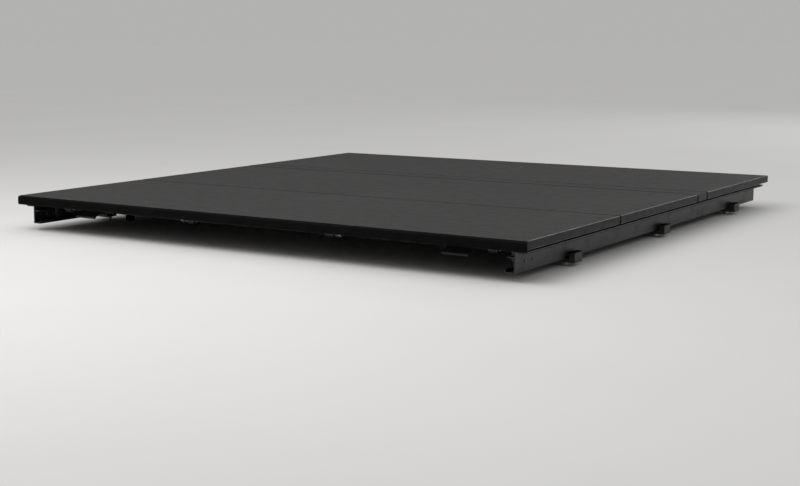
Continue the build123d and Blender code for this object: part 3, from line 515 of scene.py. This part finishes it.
def release_spring(side):
    """Torsion spring whose coils wind up between the leg on the panel and the leg in the collar."""
    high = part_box("release_springs")[1]
    axis = Vector(JOINTS["release_turn"]["pos_m"])
    coil = high.y - SPRING_WIRE - axis.y
    inner = SPRING_START
    outer = inner + SPRING_LENGTH
    count = TURN_POINTS * SPRING_TURNS
    line = [(inner, coil, z) for z in (high.z - SPRING_WIRE - axis.z, *SPRING_LEG)]
    for i in range(count + 1):
        angle = 2 * math.pi * SPRING_TURNS * i / count
        line.append((inner + SPRING_LENGTH * i / count, coil * math.cos(angle), -coil * math.sin(angle)))
    for i in range(1, BEND_POINTS + 1):
        angle = math.pi / 2 * i / BEND_POINTS
        line.append((outer + SPRING_BEND * (1 - math.cos(angle)), coil, -SPRING_BEND * math.sin(angle)))
    line.append((high.x, coil, -SPRING_BEND))
    points = [(side * x, axis.y + y, axis.z + z) for x, y, z in line]
    vertices, faces = tube(points, SPRING_WIRE)
    hand = "right" if side > 0 else "left"
    piece = new_piece("release_spring_wire_" + hand, vertices, faces, "zinc_steel")
    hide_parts("release_springs")
    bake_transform(piece)


for side_sign in (1, -1):
    release_spring(side_sign)


# ---------------------------------------------------------------- studio
def soft_light(name, place, target, size, power, colour):
    """Rectangular light of a size in metres and a power in watts, turned towards its target."""
    data = bpy.data.lights.new(name, "AREA")
    data.shape = "RECTANGLE"
    data.size, data.size_y = size
    data.energy = power
    data.color = colour
    lamp = bpy.data.objects.new(name, data)
    bpy.context.scene.collection.objects.link(lamp)
    lamp.location = place
    lamp.rotation_euler = (Vector(target) - Vector(place)).to_track_quat("-Z", "Y").to_euler()


FLOOR_HALF = 60.0
FLOOR_GAP = 0.0005


def floor():
    """Plain pale floor just under the lowest point."""
    mesh = bpy.data.meshes.new("floor")
    z = CAD_LOW.z - FLOOR_GAP
    corners = [(x * FLOOR_HALF, y * FLOOR_HALF, z) for x, y in ((-1, -1), (1, -1), (1, 1), (-1, 1))]
    mesh.from_pydata(corners, [], [(0, 1, 2, 3)])
    ground = bpy.data.objects.new("floor", mesh)
    bpy.context.scene.collection.objects.link(ground)
    m = Mat("floor", Specular_IOR_Level=0.2)
    m.colour(m.mix(m.noise(2.0, 4.0), (0.76, 0.76, 0.755), (0.8, 0.8, 0.795)))
    m.roughness(m.map(m.noise(5.0), 0.3, 0.7, 0.8, 0.9))
    mesh.materials.append(m.material)


# Strengths of the dome at the horizon and from ZENITH_RISE upwards, and of the backdrop that the camera sees.
HORIZON = 0.09
ZENITH = 0.72
ZENITH_RISE = 0.8
BACKDROP = 0.45
SKY = (1.0, 0.995, 0.985, 1.0)


def studio_world():
    """Soft dome, brighter overhead than at the horizon, with a plain pale backdrop behind everything."""
    world = bpy.data.worlds.new("studio")
    world.use_nodes = True
    tree = world.node_tree
    tree.nodes.clear()
    coords = tree.nodes.new("ShaderNodeTexCoord")
    parts = tree.nodes.new("ShaderNodeSeparateXYZ")
    rise = tree.nodes.new("ShaderNodeMapRange")
    rise.inputs["From Max"].default_value = ZENITH_RISE
    rise.inputs["To Min"].default_value = HORIZON
    rise.inputs["To Max"].default_value = ZENITH
    dome = tree.nodes.new("ShaderNodeBackground")
    dome.inputs["Color"].default_value = SKY
    backdrop = tree.nodes.new("ShaderNodeBackground")
    backdrop.inputs["Color"].default_value = SKY
    backdrop.inputs["Strength"].default_value = BACKDROP
    path = tree.nodes.new("ShaderNodeLightPath")
    mix = tree.nodes.new("ShaderNodeMixShader")
    output = tree.nodes.new("ShaderNodeOutputWorld")
    tree.links.new(coords.outputs["Generated"], parts.inputs[0])
    tree.links.new(parts.outputs["Z"], rise.inputs["Value"])
    tree.links.new(rise.outputs[0], dome.inputs["Strength"])
    tree.links.new(path.outputs["Is Camera Ray"], mix.inputs[0])
    tree.links.new(dome.outputs[0], mix.inputs[1])
    tree.links.new(backdrop.outputs[0], mix.inputs[2])
    tree.links.new(mix.outputs[0], output.inputs[0])
    bpy.context.scene.world = world


floor()
studio_world()
soft_light("key", place=(-0.5, -1.9, 2.1), target=(0.0, -0.75, 0.0), size=(2.4, 1.6), power=34.0,
           colour=(1.0, 0.985, 0.96))
soft_light("edge", place=(1.3, 5.6, 2.3), target=(0.6, 0.0, 0.0), size=(2.6, 0.8), power=26.0,
           colour=(1.0, 1.0, 1.0))
bpy.context.scene.view_settings.view_transform = "Standard"

# ---------------------------------------------------------------- camera
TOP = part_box("rear_panel_top_skin")[1].z
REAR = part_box("rear_panel_rear_rail")[0].y
LENS = 62.7              # millimetres
SIDE_SHIFT = 0.15        # share of the picture's width
EYE_RIGHT = 2.216
EYE_BEHIND = 2.863
EYE_ABOVE = 0.469
HEADING = math.radians(36.1)
PITCH = math.radians(-8.54)
ROLL = math.radians(-0.29)

camera_data = bpy.data.cameras.new("camera")
camera_data.lens = LENS
camera_data.shift_x = SIDE_SHIFT
camera = bpy.data.objects.new("camera", camera_data)
bpy.context.scene.collection.objects.link(camera)
camera.location = (EYE_RIGHT, REAR - EYE_BEHIND, TOP + EYE_ABOVE)
tilt = Matrix.Rotation(math.pi / 2 + PITCH, 3, "X") @ Matrix.Rotation(ROLL, 3, "Z")
camera.rotation_euler = (Matrix.Rotation(HEADING, 3, "Z") @ tilt).to_euler()
bpy.context.scene.camera = camera
